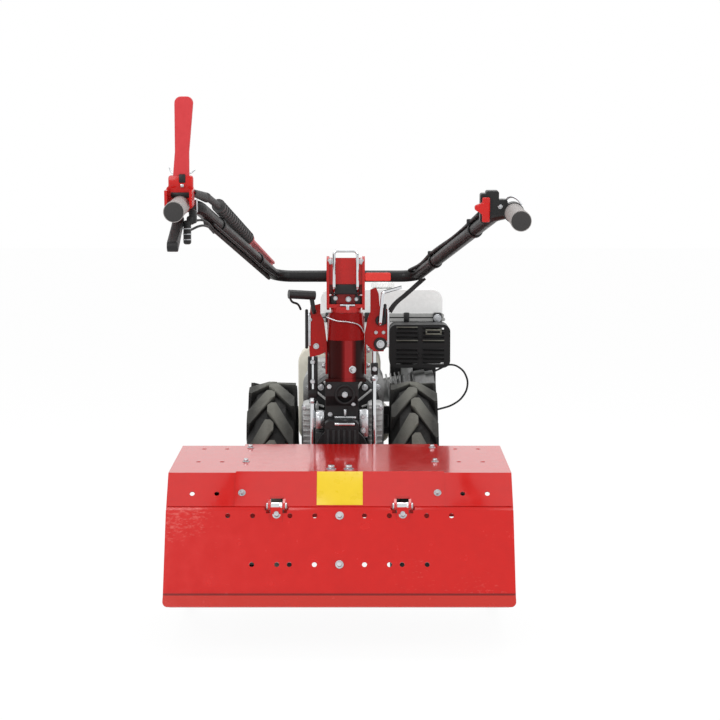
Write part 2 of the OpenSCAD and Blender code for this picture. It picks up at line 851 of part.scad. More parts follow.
// Chevron lug from its nose at the middle of the tread out to the shoulder and down the side
module lug(side, edge, start) {
    half = tyre_w / 2;
    lead = 21 * side;
    hull() {
        lug_block(start, edge * 6, 12, lug_run, carcass_r - 8, axle_z);
        lug_block(start, edge * -4, 8, lug_run - 16, carcass_r - 8, axle_z - 1);
        lug_block(start + lead, edge * (half - 6), 8, lug_run, carcass_r - 22, axle_z - 3);
    }
    hull() {
        lug_block(start + lead, edge * (half - 6), 8, lug_run, carcass_r - 22, axle_z - 3);
        lug_block(start + lead * 1.25, edge * (half - 2), 4, 24, carcass_r - 44, carcass_r - 30);
    }
}

module tyre(side) {
    pitch = 360 / lug_count;
    bottom = side > 0 ? 0 : 180;
    first = bottom + asin(lug_run / 2 / axle_z);
    color(rubber) on_axle(side) {
        tyre_carcass();
        for (i = [0:lug_count - 1], edge = [-1, 1])
            lug(side, edge, first + pitch * (i + (edge > 0 ? 0.5 : 0)));
    }
}

// Pressed disc wheel with its rim and the hub that runs in the axle housing
module wheel(side) {
    disc = -12;
    inner = hub_inner - wheel_x;
    seat = rim_r - slip;
    color(rim_grey) on_axle(side) {
        difference() {
            rotate_extrude() polygon([
                [30, disc], [seat - 34, disc], [seat - 6, disc + 10], [seat - 6, -38.5], [rim_r + rim_lip, -38.5],
                [rim_r + rim_lip, -34.5], [seat, -34.5], [seat, 34.5], [rim_r + rim_lip, 34.5],
                [rim_r + rim_lip, 38.5], [seat - 6, 38.5], [seat - 6, disc + 16], [seat - 36, disc + 6], [30, disc + 6]
            ]);
            for (k = [0:4])
                rotate(k * 72 + 36) translate([78, 0, disc - 5]) cylinder(r = 11, h = 20);
        }
        translate([0, 0, inner]) cylinder(r = 34, h = disc - inner + 26);
        translate([0, 0, disc - 8]) cylinder(r = 58, h = 8);
        translate([0, 0, inner - 14]) cylinder(r = axle_shaft_r, h = 20);
    }
}

module tyre_left() { tyre(-1); }
module tyre_right() { tyre(1); }
module wheel_left() { wheel(-1); }
module wheel_right() { wheel(1); }

place() gearbox_case();
place() axle_housing();
place() clutch_housing();
place() engine_block();
place() engine_cylinder();
place() fan_housing();
place() recoil_starter();
place() fuel_tank();
place() fuel_cap();
place() muffler();
place() muffler_guard();
place() air_filter();
place() engine_bed();
place() front_bumper();
place() engine_cable();
place() column_post();
place() column_cover();
place() lever_plates();
place() shift_rods();
place() select_lever();
place() gear_lever();
place() pto_coupling();
place() tiller_case();
place() hood_center();
place() hood_wings();
place() depth_skids();
place() hinge_pins();
place() head_bracket();
place() lock_bail();
place() lock_lever();
place() handlebar_tube();
place() grips();
place() lever_bracket();
place() engage_lever();
place() clutch_lever();
place() throttle_housing();
place() throttle_lever();
place() reverse_lever();
place() control_cables();
place() rear_flap();
place() tine_rotor();
place() tyre_left();
place() tyre_right();
place() wheel_left();
place() wheel_right();
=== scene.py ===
import json
import math

import bmesh
import bpy
from mathutils import Matrix, Vector

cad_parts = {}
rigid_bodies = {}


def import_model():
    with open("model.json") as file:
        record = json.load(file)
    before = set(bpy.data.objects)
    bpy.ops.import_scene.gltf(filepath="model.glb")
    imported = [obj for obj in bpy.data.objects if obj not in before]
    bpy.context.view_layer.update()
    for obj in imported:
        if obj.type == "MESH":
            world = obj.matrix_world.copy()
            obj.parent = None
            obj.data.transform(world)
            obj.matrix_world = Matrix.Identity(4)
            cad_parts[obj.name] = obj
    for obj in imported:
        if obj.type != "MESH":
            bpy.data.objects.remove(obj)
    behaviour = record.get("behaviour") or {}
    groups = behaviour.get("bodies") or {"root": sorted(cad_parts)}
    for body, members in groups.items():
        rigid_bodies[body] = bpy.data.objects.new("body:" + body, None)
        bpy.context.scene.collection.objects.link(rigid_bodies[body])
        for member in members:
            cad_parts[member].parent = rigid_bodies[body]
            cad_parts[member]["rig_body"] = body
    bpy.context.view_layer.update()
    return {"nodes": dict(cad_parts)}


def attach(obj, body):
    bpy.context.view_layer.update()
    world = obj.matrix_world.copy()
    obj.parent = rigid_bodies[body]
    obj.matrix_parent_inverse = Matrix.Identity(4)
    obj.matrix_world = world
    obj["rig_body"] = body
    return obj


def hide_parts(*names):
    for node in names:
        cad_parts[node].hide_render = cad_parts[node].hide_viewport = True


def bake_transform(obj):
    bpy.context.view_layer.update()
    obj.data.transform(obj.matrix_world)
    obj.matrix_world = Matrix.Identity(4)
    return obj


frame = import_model()
nodes = frame["nodes"]

# Camera
# It stands behind the machine at chest height, almost on the middle plane, and looks slightly down
# through a long lens.
MM = 0.001
AXLE_Y = 345


def spot(x, y, z):
    """A point in metres, from millimetres to the right, forward of the wheel axle and above the floor."""
    return Vector((x, y + AXLE_Y, z)) * MM


camera_data = bpy.data.cameras.new("camera")
camera_data.sensor_width = 36
camera_data.lens = 89.8
camera = bpy.data.objects.new("camera", camera_data)
camera.location = spot(41, -4350, 901)
camera.rotation_euler = (math.radians(90 - 5.09), 0, 0)
bpy.context.scene.collection.objects.link(camera)
bpy.context.scene.camera = camera


# Loose engine cable
# A thin rubber-covered wire that runs from the cylinder head out to the side and back to the crankcase.
# Extruded rubber is near black with a soft, broken sheen.
def colour(code):
    """Linear colour from an sRGB hex code."""
    parts = [int(code[i:i + 2], 16) / 255 for i in (1, 3, 5)]
    return [p / 12.92 if p <= 0.04045 else ((p + 0.055) / 1.055) ** 2.4 for p in parts] + [1]


def add_node(tree, kind, settings=None, inputs=None):
    """Adds a shader node, sets its properties, and sets or links its inputs."""
    made = tree.nodes.new("ShaderNode" + kind)
    for name, value in (settings or {}).items():
        setattr(made, name, value)
    for name, value in (inputs or {}).items():
        if isinstance(value, bpy.types.NodeSocket):
            tree.links.new(value, made.inputs[name])
        else:
            made.inputs[name].default_value = value
    return made


def finish_material(name, dark, light, grain_mm, rough, metal=0.0, ior=1.5, bump=0.1, coat=0.0):
    """A finish with two close tones, a spread of roughness and a fine relief, all of one grain size."""
    material = bpy.data.materials.new(name)
    material.use_nodes = True
    tree = material.node_tree
    shader = tree.nodes["Principled BSDF"]
    place = add_node(tree, "TexCoord").outputs["Object"]
    grain_size = grain_mm * MM
    tone = add_node(tree, "TexNoise", inputs={"Vector": place, "Scale": 0.25 / grain_size, "Detail": 4})
    grain = add_node(tree, "TexNoise", inputs={"Vector": place, "Scale": 1 / grain_size, "Detail": 2})
    mixed = add_node(tree, "Mix", {"data_type": "RGBA"}, {
        0: tone.outputs["Fac"], 6: colour(dark), 7: colour(light)})
    spread = add_node(tree, "MapRange", inputs={
        "Value": tone.outputs["Fac"], "From Min": 0.3, "From Max": 0.7,
        "To Min": rough[0], "To Max": rough[1]})
    relief = add_node(tree, "Bump", inputs={
        "Height": grain.outputs["Fac"], "Strength": bump, "Distance": grain_size})
    tree.links.new(mixed.outputs[2], shader.inputs["Base Color"])
    tree.links.new(spread.outputs["Result"], shader.inputs["Roughness"])
    tree.links.new(relief.outputs["Normal"], shader.inputs["Normal"])
    shader.inputs["Metallic"].default_value = metal
    shader.inputs["IOR"].default_value = ior
    shader.inputs["Coat Weight"].default_value = coat
    shader.inputs["Coat Roughness"].default_value = 0.06
    return material


cable_rubber = finish_material("extruded_cable_rubber", "#111112", "#1d1d1e", 1.5, (0.4, 0.6), ior=1.4)
CABLE_R = 2.5
cable_points = [
    (206, 280, 446), (206, 286, 446), (216, 291, 450), (246, 290, 464), (274, 284, 476), (300, 274, 468),
    (315, 264, 448), (318, 258, 424), (307, 254, 398), (284, 252, 378), (252, 252, 366), (210, 254, 358),
    (160, 256, 351), (124, 256, 348), (100, 256, 348),
]


def wire(name, points, radius, material, body):
    """A round wire through points given in millimetres, riding on a body."""
    line = bpy.data.curves.new(name, "CURVE")
    line.dimensions = "3D"
    line.bevel_depth = radius * MM
    line.bevel_resolution = 3
    line.use_fill_caps = True
    line.resolution_u = 6
    run = line.splines.new("BEZIER")
    run.bezier_points.add(len(points) - 1)
    for knot, point in zip(run.bezier_points, points):
        knot.co = spot(*point)
        knot.handle_left_type = knot.handle_right_type = "AUTO"
    line.materials.append(material)
    made = bpy.data.objects.new(name, line)
    bpy.context.scene.collection.objects.link(made)
    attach(made, body)
    return made


loose_cable = wire("loose_engine_cable", cable_points, CABLE_R, cable_rubber, "chassis")
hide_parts("engine_cable")


# Studio
# A plain white floor that runs out to a white surround, and three large soft lamps. The floor keeps the
# machine's shadow, and shiny parts mirror the white.
def white_where_seen(tree):
    """One for rays that show the background straight, in a mirror or through glass, else nought."""
    path = add_node(tree, "LightPath").outputs
    seen = add_node(tree, "Math", {"operation": "MAXIMUM"}, {
        0: path["Is Camera Ray"], 1: path["Is Glossy Ray"]})
    return add_node(tree, "Math", {"operation": "MAXIMUM"}, {
        0: seen.outputs[0], 1: path["Is Transmission Ray"]}).outputs[0]


FLOOR_REACH = 30
mesh = bmesh.new()
bmesh.ops.create_grid(mesh, x_segments=1, y_segments=1, size=FLOOR_REACH)
floor_mesh = bpy.data.meshes.new("studio_floor")
mesh.to_mesh(floor_mesh)
mesh.free()
floor = bpy.data.objects.new("studio_floor", floor_mesh)
bpy.context.scene.collection.objects.link(floor)
white_floor = bpy.data.materials.new("white_painted_floor")
white_floor.use_nodes = True
tree = white_floor.node_tree
tree.nodes["Principled BSDF"].inputs["Base Color"].default_value = colour("#fafafa")
tree.nodes["Principled BSDF"].inputs["Roughness"].default_value = 0.8
glow = add_node(tree, "Emission", inputs={"Color": (1, 1, 1, 1), "Strength": 1.02})
share = add_node(tree, "Math", {"operation": "MULTIPLY"}, {0: white_where_seen(tree), 1: 0.93})
blend = add_node(tree, "MixShader", inputs={
    0: share.outputs[0], 1: tree.nodes["Principled BSDF"].outputs[0], 2: glow.outputs[0]})
tree.links.new(blend.outputs[0], tree.nodes["Material Output"].inputs["Surface"])
floor.data.materials.append(white_floor)

world = bpy.data.worlds.new("white_surround")
world.use_nodes = True
bpy.context.scene.world = world
tree = world.node_tree
level = add_node(tree, "MapRange", inputs={"Value": white_where_seen(tree), "To Min": 0.55, "To Max": 1.0})
tree.links.new(level.outputs["Result"], tree.nodes["Background"].inputs["Strength"])
tree.nodes["Background"].inputs["Color"].default_value = (1, 1, 1, 1)

for name, place, size, power in (
    ("key_lamp", (-2.2, -3.4, 2.8), 2.2, 62),
    ("fill_lamp", (2.6, -3.0, 2.0), 2.4, 38),
    ("top_lamp", (0.3, 0.8, 3.6), 2.6, 60),
):
    lamp = bpy.data.lights.new(name, "AREA")
    lamp.size = size
    lamp.energy = power
    stand = bpy.data.objects.new(name, lamp)
    stand.location = place
    stand.rotation_euler = (Vector((0, 0, 0.5)) - Vector(place)).to_track_quat("-Z", "Y").to_euler()
    bpy.context.scene.collection.objects.link(stand)
bpy.context.scene.view_settings.view_transform = "Standard"


# Gearbox and axle
# A black-painted sand casting with the axle tubes bolted to its sides and the drive coupling behind it.
# Paint over cast metal is pebbled and half dull.
def dress(material, *names):
    """Gives solids of the frame a finish."""
    for name in names:
        nodes[name].data.materials.clear()
        nodes[name].data.materials.append(material)


def shade(mesh_data, angle=35):
    """Smooth faces, with edges sharper than the angle kept."""
    mesh_data.shade_smooth()
    mesh_data.set_sharp_from_angle(angle=math.radians(angle))


def eased(name, ease, material, segments=2, angle=32):
    """A copy of a solid with its sharp edges rounded by some millimetres, in the solid's place."""
    form = bmesh.new()
    form.from_mesh(nodes[name].data)
    bmesh.ops.remove_doubles(form, verts=form.verts, dist=0.01 * MM)
    bmesh.ops.dissolve_limit(form, angle_limit=math.radians(0.5), verts=form.verts, edges=form.edges)
    made = bpy.data.meshes.new(name + "_eased")
    form.to_mesh(made)
    form.free()
    made.materials.clear()
    made.materials.append(material)
    piece = bpy.data.objects.new(name + "_eased", made)
    bpy.context.scene.collection.objects.link(piece)
    rounding = piece.modifiers.new("eased_edges", "BEVEL")
    rounding.width = ease * MM
    rounding.segments = segments
    rounding.limit_method = "ANGLE"
    rounding.angle_limit = math.radians(angle)
    shade(made, 40)
    even = piece.modifiers.new("even_shading", "WEIGHTED_NORMAL")
    even.keep_sharp = True
    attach(piece, nodes[name]["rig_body"])
    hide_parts(name)
    return piece


cast_black = finish_material("painted_cast_iron", "#0c0c0d", "#1d1d1f", 2.5, (0.32, 0.6), ior=1.36, bump=0.35)
dress(cast_black, "axle_housing", "muffler")
eased("gearbox_case", 4, cast_black)
eased("pto_coupling", 3, cast_black)


def made_piece(name, form, material, body, angle=35):
    """Turns a bmesh into a finished piece that rides on a body."""
    bmesh.ops.recalc_face_normals(form, faces=form.faces)
    data = bpy.data.meshes.new(name)
    form.to_mesh(data)
    form.free()
    data.materials.append(material)
    shade(data, angle)
    piece = bpy.data.objects.new(name, data)
    bpy.context.scene.collection.objects.link(piece)
    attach(piece, body)
    return piece


def facing(place, normal, spin=0.0):
    """The turn and shift that put a shape's Z axis along a normal at a place in millimetres."""
    turn = Vector(normal).to_track_quat("Z", "Y").to_matrix().to_4x4()
    return Matrix.Translation(spot(*place)) @ turn @ Matrix.Rotation(spin, 4, "Z")


def round_edges(form, verts, ease, segments=2):
    """Bevels all the edges at some vertices, by some millimetres."""
    edges = list({e for v in verts for e in v.link_edges})
    bmesh.ops.bevel(
        form, geom=edges, offset=ease * MM, segments=segments, profile=0.5, affect="EDGES", material=-1)


WASHER_THICK = 1.6


def hex_bolt(form, place, normal, width, washer=1.7):
    """A hexagon bolt head with a chamfered top on a round washer, its seat at the place."""
    where = facing(place, normal, 0.3)
    rim_r = width * washer / 2 * MM
    head_r = width / 2 * 1.15 * MM
    head_mid = (WASHER_THICK + width * 0.3) * MM
    rim = bmesh.ops.create_cone(
        form, cap_ends=True, segments=24, radius1=rim_r, radius2=rim_r, depth=WASHER_THICK * MM,
        matrix=where @ Matrix.Translation((0, 0, WASHER_THICK / 2 * MM)))
    head = bmesh.ops.create_cone(
        form, cap_ends=True, segments=6, radius1=head_r, radius2=head_r, depth=width * 0.6 * MM,
        matrix=where @ Matrix.Translation((0, 0, head_mid)))
    round_edges(form, rim["verts"] + head["verts"], 0.5, 1)


zinc = finish_material("bright_zinc_plate", "#a4a6a9", "#d2d4d7", 3, (0.18, 0.36), metal=1.0, bump=0.05)
BACK = (0, -1, 0)
form = bmesh.new()
hex_bolt(form, (7, -344, 466), BACK, 10, 1.4)
for x, y, z in ((-28, -344, 484), (-26, -331, 420), (26, -331, 444)):
    hex_bolt(form, (x, y, z), BACK, 7, 1.5)
for x, z in ((-29, 292), (29, 292)):
    hex_bolt(form, (x, -384, z), BACK, 8)
made_piece("gearbox_bolts", form, zinc, "chassis")


# Shift gate and coupling ribs
# The gate is a small plated cross under the rear bearing cover, with a flat bar below it and a lug with two
# bolts beside it. The cover's rim, the coupling's ribs and the left lug are parts of the castings.
def bar(form, low, high, ease=1.5):
    """A rectangular bar with eased edges between two corners in millimetres."""
    a, b = spot(*low), spot(*high)
    middle = Matrix.Translation((a + b) / 2) @ Matrix.Diagonal([*(b - a), 1])
    made = bmesh.ops.create_cube(form, size=1, matrix=middle)
    round_edges(form, made["verts"], ease)


def ring(form, place, normal, radius, thick):
    """A round wire ring about a normal."""
    where = facing(place, normal)
    loop = bmesh.ops.create_circle(
        form, segments=10, radius=thick * MM,
        matrix=where @ Matrix.Translation((radius * MM, 0, 0)) @ Matrix.Rotation(math.pi / 2, 4, "X"))
    axis = where.to_3x3() @ Vector((0, 0, 1))
    bmesh.ops.spin(
        form, geom=list({e for v in loop["verts"] for e in v.link_edges}), cent=where.translation,
        axis=axis, angle=2 * math.pi, steps=32, use_merge=True, use_duplicate=False)


form = bmesh.new()
bar(form, (-16, -338, 411), (32, -330, 416), 1)
bar(form, (5, -338, 414), (10, -330, 432), 1)
bar(form, (-16, -389, 401), (30, -381, 408), 3)
bar(form, (38, -322, 366), (60, -306, 430), 4)
for z in (382, 414):
    hex_bolt(form, (48, -322, z), BACK, 8, 1.5)
made_piece("shift_gate", form, zinc, "chassis")
form = bmesh.new()
for x in range(-30, 31, 12):
    bar(form, (x - 3, -389, 296), (x + 3, -383, 392), 1.5)
ring(form, (7, -345, 466), BACK, 20, 3)
bar(form, (-60, -332, 300), (-37, -300, 380), 5)
made_piece("casting_ribs", form, cast_black, "chassis")
form = bmesh.new()
bar(form, (-60, -322, 384), (-37, -296, 426), 5)
bar(form, (-56, -326, 392), (-44, -318, 416), 3)
made_piece("side_cover", form, zinc, "chassis")

# Side castings
# Two bare cast covers bolted to the sides of the gearbox above the axle, each with level ribs on its rear
# face. They fill the space between the gearbox and the wheels. Sand-cast aluminium is grey with a dull grain.
cast_alloy = finish_material(
    "sand_cast_aluminium", "#949595", "#c6c7c6", 2, (0.38, 0.6), metal=0.55, bump=0.3)
COVER_BACK = -150
RIB_STEP = 13
form = bmesh.new()
for side in (-1, 1):
    low, high = sorted((side * 58, side * 97))
    bar(form, (low, COVER_BACK, 318), (high, -60, 424), 10)
    for z in range(332, 412, RIB_STEP):
        bar(form, (low + 4, COVER_BACK - 6, z), (high - 4, COVER_BACK + 4, z + 5), 1.5)
made_piece("side_castings", form, cast_alloy, "chassis")
form = bmesh.new()
for x, z in ((-90, 414), (-68, 326), (90, 414), (68, 326)):
    hex_bolt(form, (x, COVER_BACK, z), BACK, 8, 1.5)
made_piece("side_casting_bolts", form, zinc, "chassis")

# Bell housing ribs
# The bell behind the engine is cast aluminium, with ribs that run out from its middle and a ring of plated
# bolts at its rim.
SHAFT_Z = 390
BELL = (0, -60, SHAFT_Z)
BOLT_CIRCLE = 82


def rib(form, place, normal, turn, inner, outer, width, height):
    """A bar that runs outward on a face, from one radius to another, turned about the face's normal."""
    where = facing(place, normal, turn)
    shape = Matrix.Translation(((inner + outer) / 2 * MM, 0, height / 2 * MM))
    size = Matrix.Diagonal(((outer - inner) * MM, width * MM, height * MM, 1))
    made = bmesh.ops.create_cube(form, size=1, matrix=where @ shape @ size)
    round_edges(form, made["verts"], 1.2, 1)


form = bmesh.new()
for step in range(18):
    rib(form, BELL, BACK, step * math.pi / 9, 48, 90, 5, 7)
made_piece("bell_ribs", form, cast_alloy, "chassis")
form = bmesh.new()
for step in range(9):
    turn = (step + 0.25) * 2 * math.pi / 9
    spoke = Vector((math.cos(turn), 0, math.sin(turn))) * BOLT_CIRCLE
    hex_bolt(form, Vector(BELL) + spoke, BACK, 9)
made_piece("bell_bolts", form, zinc, "chassis")

# Engine
# A single-cylinder petrol engine: bare cast aluminium, a cream moulded fan shroud, a white moulded tank
# with a grey seam, and black moulded starter and filter. Moulded plastic is even, with a soft gloss.
cream = finish_material("moulded_cream_plastic", "#dedaca", "#ebe7da", 3, (0.3, 0.42), ior=1.46, bump=0.04)
white = finish_material("moulded_white_plastic", "#e6e7e6", "#f1f1f0", 3, (0.2, 0.32), ior=1.46, bump=0.03)
black_plastic = finish_material(
    "moulded_black_plastic", "#101011", "#1f1f20", 1.2, (0.35, 0.52), ior=1.4, bump=0.12)


def zoned(material, axis, low, high, code):
    """Gives the part of a finish between two heights on an axis, in millimetres from the floor or the
    machine's middle, a colour of its own."""
    tree = material.node_tree
    shader = tree.nodes["Principled BSDF"]
    base = shader.inputs["Base Color"].links[0].from_socket
    place = add_node(tree, "TexCoord").outputs["Object"]
    along = add_node(tree, "SeparateXYZ", inputs={0: place}).outputs[axis]
    above = add_node(tree, "Math", {"operation": "GREATER_THAN"}, {0: along, 1: low * MM})
    below = add_node(tree, "Math", {"operation": "LESS_THAN"}, {0: along, 1: high * MM})
    inside = add_node(tree, "Math", {"operation": "MULTIPLY"}, {0: above.outputs[0], 1: below.outputs[0]})
    mixed = add_node(tree, "Mix", {"data_type": "RGBA"}, {0: inside.outputs[0], 6: base, 7: colour(code)})
    tree.links.new(mixed.outputs[2], shader.inputs["Base Color"])


FRONT = (0, 1, 0)
UP = (0, 0, 1)
SEAM_Z = 592
tank_white = white.copy()
tank_white.name = "moulded_white_plastic_with_grey_seam"
zoned(tank_white, "Z", SEAM_Z - 1, SEAM_Z + 20, "#a9aaa8")
dress(cast_alloy, "clutch_housing", "engine_block", "engine_cylinder")
eased("fan_housing", 6, cream)
eased("fuel_tank", 8, tank_white)
dress(black_plastic, "recoil_starter")
eased("fuel_cap", 2.5, white)
eased("air_filter", 5, black_plastic)

form = bmesh.new()
bar(form, (-60, 237, SEAM_Z + 8), (252, 241, SEAM_Z + 11), 0.8)
for x in (-40, 60, 160):
    bar(form, (x - 7, 236, SEAM_Z - 2), (x + 7, 246, SEAM_Z + 22), 2)
bar(form, (228, 232, SEAM_Z - 5), (250, 246, SEAM_Z + 22), 4)
made_piece("tank_seam_clips", form, black_plastic, "chassis")
form = bmesh.new()
hex_bolt(form, (239, 232, SEAM_Z + 8), BACK, 12)
for x, z in ((-92, 300), (70, 300), (-92, 486), (70, 486)):
    hex_bolt(form, (x, 372, z), FRONT, 10)
for step in range(3):
    turn = (step + 0.25) * 2 * math.pi / 3
    spoke = Vector((math.cos(turn), 0, math.sin(turn))) * BOLT_CIRCLE
    hex_bolt(form, Vector((0, 394, SHAFT_Z)) + spoke, FRONT, 8)
for x in (-84, 84):
    for z in (300, 440):
        hex_bolt(form, (x, 58, z), BACK, 10)
made_piece("engine_bolts", form, zinc, "chassis")
form = bmesh.new()
bar(form, (92, 246, 300), (120, 260, 372), 4)
bar(form, (98, 240, 318), (114, 248, 352), 3)
made_piece("oil_switch_box", form, black_plastic, "chassis")
form = bmesh.new()
bar(form, (-18, 414, SHAFT_Z - 6), (18, 420, SHAFT_Z + 6), 2.5)
bar(form, (-26, 420, SHAFT_Z - 7), (26, 432, SHAFT_Z + 7), 5)
made_piece("starter_handle", form, black_plastic, "chassis")
form = bmesh.new()
CAP_RIBS = 24
for step in range(CAP_RIBS):
    rib(form, (100, 322, 675), UP, step * 2 * math.pi / CAP_RIBS, 26, 30.5, 3, 12)
made_piece("fuel_cap_ribs", form, white, "chassis")

# Exhaust guard
# A pressed steel box with louvres, painted with heat-proof black, which is satin and a little uneven. Bright
# steel strips on some louvre lips and a small frame on the box are painted highlights, and two screws with
# washers hold the box to the silencer.
black_paint = finish_material("black_enamel", "#0b0b0c", "#151516", 3, (0.34, 0.46), ior=1.34, bump=0.01)
painted_glint_steel = finish_material("painted_glint_steel", "#57574f", "#77776e", 2, (0.35, 0.5), metal=0.8, bump=0.1)
eased("muffler_guard", 2.5, black_paint)
LOUVRE_X = (132, 198)
LOUVRE_W = 52
LOUVRE_Z = [493 + row * 54 + step * 11 for row in (0, 1) for step in range(4)]
GLINT_Y = (104.6, 106)
form = bmesh.new()
for x in LOUVRE_X:
    for z in LOUVRE_Z:
        bar(form, (x - 1, 105.5, z + 4.4), (x + LOUVRE_W + 1, 112, z + 7.2), 0.9)
made_piece("louvre_lips", form, black_paint, "chassis")
# Bright steel strips where the lips and a small frame catch the light: painted highlights.
form = bmesh.new()
for x, z in ((LOUVRE_X[0], LOUVRE_Z[7]), (LOUVRE_X[0], LOUVRE_Z[4]), (LOUVRE_X[1], LOUVRE_Z[4])):
    bar(form, (x - 1, 104.8, z + 4.6), (x + LOUVRE_W + 1, 106.2, z + 7), 0.5)
for x, z, end_x, end_z in (
        (204, 567, 244, 571), (204, 577, 244, 581), (204, 569, 208, 579), (240, 569, 244, 579)):
    bar(form, (x, GLINT_Y[0], z), (end_x, GLINT_Y[1], end_z), 0.5)
made_piece("painted_glint_louvres", form, painted_glint_steel, "chassis")
form = bmesh.new()
for z in (514, 562):
    hex_bolt(form, (190, 110, z), BACK, 9)
made_piece("guard_screws", form, black_paint, "chassis")

# Engine bed and bumper
# Welded steel bars under the engine, and a plate with a bent tube in front of them. They have the same black
# enamel as the guard.
dress(black_paint, "engine_bed", "front_bumper")

# Steering column
# A red-enamelled steel post with a cowl and two lever plates bolted to its sides. The enamel is baked, with a
# slight ripple. The cowl and the post get darker copies of the red as painted shade, the post the darkest,
# with a near-black zone on its right that is painted shade too. A lighter strip down the post's middle is a
# painted highlight.
red = finish_material(
    "baked_red_enamel", "#c00d08", "#cb130d", 6, (0.16, 0.28), ior=1.4, bump=0.02, coat=0.1)
plate_red = finish_material(
    "baked_red_enamel_on_plate", "#9c0f0b", "#a8130e", 6, (0.2, 0.32), ior=1.32, bump=0.02)
# The cowl's darker copy of the red is painted shade.
cowl_red = finish_material(
    "baked_red_enamel_on_cowl_with_painted_shade", "#860909", "#900b0b", 6, (0.2, 0.32), ior=1.22, bump=0.02)
# The post's near-black red is painted shade.
post_red = finish_material(
    "baked_red_enamel_with_painted_shade_and_highlight", "#2e0504", "#380706", 6, (0.25, 0.35), ior=1.18, bump=0.02)
eased("column_cover", 3, cowl_red)
eased("lever_plates", 0.8, plate_red, 1)
# Bands of lighter red about this line are a painted highlight down the post's middle, and the near-black zone
# to their right is painted shade.
HIGHLIGHT_X = 15
HIGHLIGHT_HALF = 17
for half, code in ((HIGHLIGHT_HALF, "#45090a"), (14, "#5e1011"), (11, "#7c1a1b"), (8, "#962c2d")):
    zoned(post_red, "X", HIGHLIGHT_X - half, HIGHLIGHT_X + half, code)
zoned(post_red, "X", HIGHLIGHT_X + HIGHLIGHT_HALF, HIGHLIGHT_X + 60, "#241312")
eased("column_post", 2, post_red)
chrome = finish_material("chrome_plate", "#c9cbce", "#e2e4e6", 6, (0.06, 0.14), metal=1.0, bump=0.01)
dress(chrome, "shift_rods", "select_lever")
dress(black_plastic, "gear_lever")
PLATE_Y = -304
form = bmesh.new()
hex_bolt(form, (24, -339, 522), (0.36, -0.93, 0), 10)
for x in (77, 94):
    hex_bolt(form, (x, PLATE_Y, 603), BACK, 5)
hex_bolt(form, (87, PLATE_Y - 5, 577), BACK, 11)
hex_bolt(form, (-71, PLATE_Y, 632), BACK, 5)
hex_bolt(form, (-58, PLATE_Y, 572), BACK, 8)
for x, side in ((-38, -1), (56, 1)):
    for z in (526, 560):
        hex_bolt(form, (x, -285, z), (side, 0, 0), 9)
made_piece("column_bolts", form, zinc, "chassis")


# Lever bushes
# Moulded black bushes and strips line the holes and slots that the levers pass through on the plates. Plated
# strips along the plates' outer edges are painted highlights.
BUSH_EASE = 1.2


def bush(form, place, normal, outer, inner, height):
    """A ring with a flat face and rounded rims, lying on a face."""
    where = facing(place, normal)
    flat = where.inverted()
    low = bmesh.ops.create_circle(form, segments=28, radius=outer * MM, matrix=where)
    edges = list({e for v in low["verts"] for e in v.link_edges})
    for radius, rise in (
            (outer, height * 0.7), (outer - BUSH_EASE, height), (inner + BUSH_EASE, height),
            (inner, height * 0.7), (inner, 0)):
        grown = bmesh.ops.extrude_edge_only(form, edges=edges)["geom"]
        edges = [e for e in grown if isinstance(e, bmesh.types.BMEdge)]
        for v in [v for v in grown if isinstance(v, bmesh.types.BMVert)]:
            spoke = flat @ v.co
            spoke.z = 0
            v.co = where @ (spoke.normalized() * radius * MM + Vector((0, 0, rise * MM)))


form = bmesh.new()
bush(form, (87, PLATE_Y, 577), BACK, 15, 4, 5)
bush(form, (87.5, PLATE_Y, 630), BACK, 12, 4.5, 6)
made_piece("lever_bushes", form, black_plastic, "chassis")
form = bmesh.new()
bar(form, (94, PLATE_Y - 4, 622), (101, PLATE_Y, 668), 3)
bar(form, (-83, -306, 566), (-76, -300, 656), 3)
made_piece("lever_slots", form, black_plastic, "chassis")
# Plated strips on the plates' outer edges: painted highlights.
form = bmesh.new()
bar(form, (102.5, -309, 572), (106.5, -300, 655), 1)
bar(form, (-76, -307, 572), (-70.5, -303.5, 648), 1)
made_piece("plate_edge_highlights", form, zinc, "chassis")

# Rod ends
# Cast clevises, painted black, join the shift rods to the levers. Plated pins go through them, and a lock nut
# holds each rod.
CLEVIS_Y = (-306, -282)
form = bmesh.new()
for x in (-77, -62):
    bar(form, (x, CLEVIS_Y[0], 470), (x + 7, CLEVIS_Y[1], 548), 2)
bar(form, (-77, CLEVIS_Y[0], 454), (-55, CLEVIS_Y[1], 474), 3)
bar(form, (66, -302, 506), (82, -284, 534), 3)
made_piece("rod_clevises", form, cast_black, "chassis")
form = bmesh.new()
for x, y, z in ((-66, CLEVIS_Y[0], 536), (-66, CLEVIS_Y[0], 492), (74, -302, 520)):
    hex_bolt(form, (x, y, z), BACK, 8, 1.4)
for x, z in ((-66, 440), (73, 492)):
    hex_bolt(form, (x, -294, z), UP, 15, 1.1)
made_piece("rod_end_pins", form, zinc, "chassis")

# Column wires
# A plated wire lies over the cowl, a pair of rubber-covered ones runs from the right plate up to the
# handlebar, and a bent hook hangs from the gear lever.
def bending(run):
    """A wire turned into a mesh of its own, in its place and riding on no body."""
    name = run.name
    skin = bpy.data.meshes.new_from_object(run.evaluated_get(bpy.context.evaluated_depsgraph_get()))
    bpy.data.objects.remove(run)
    made = bpy.data.objects.new(name, skin)
    bpy.context.scene.collection.objects.link(made)
    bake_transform(made)


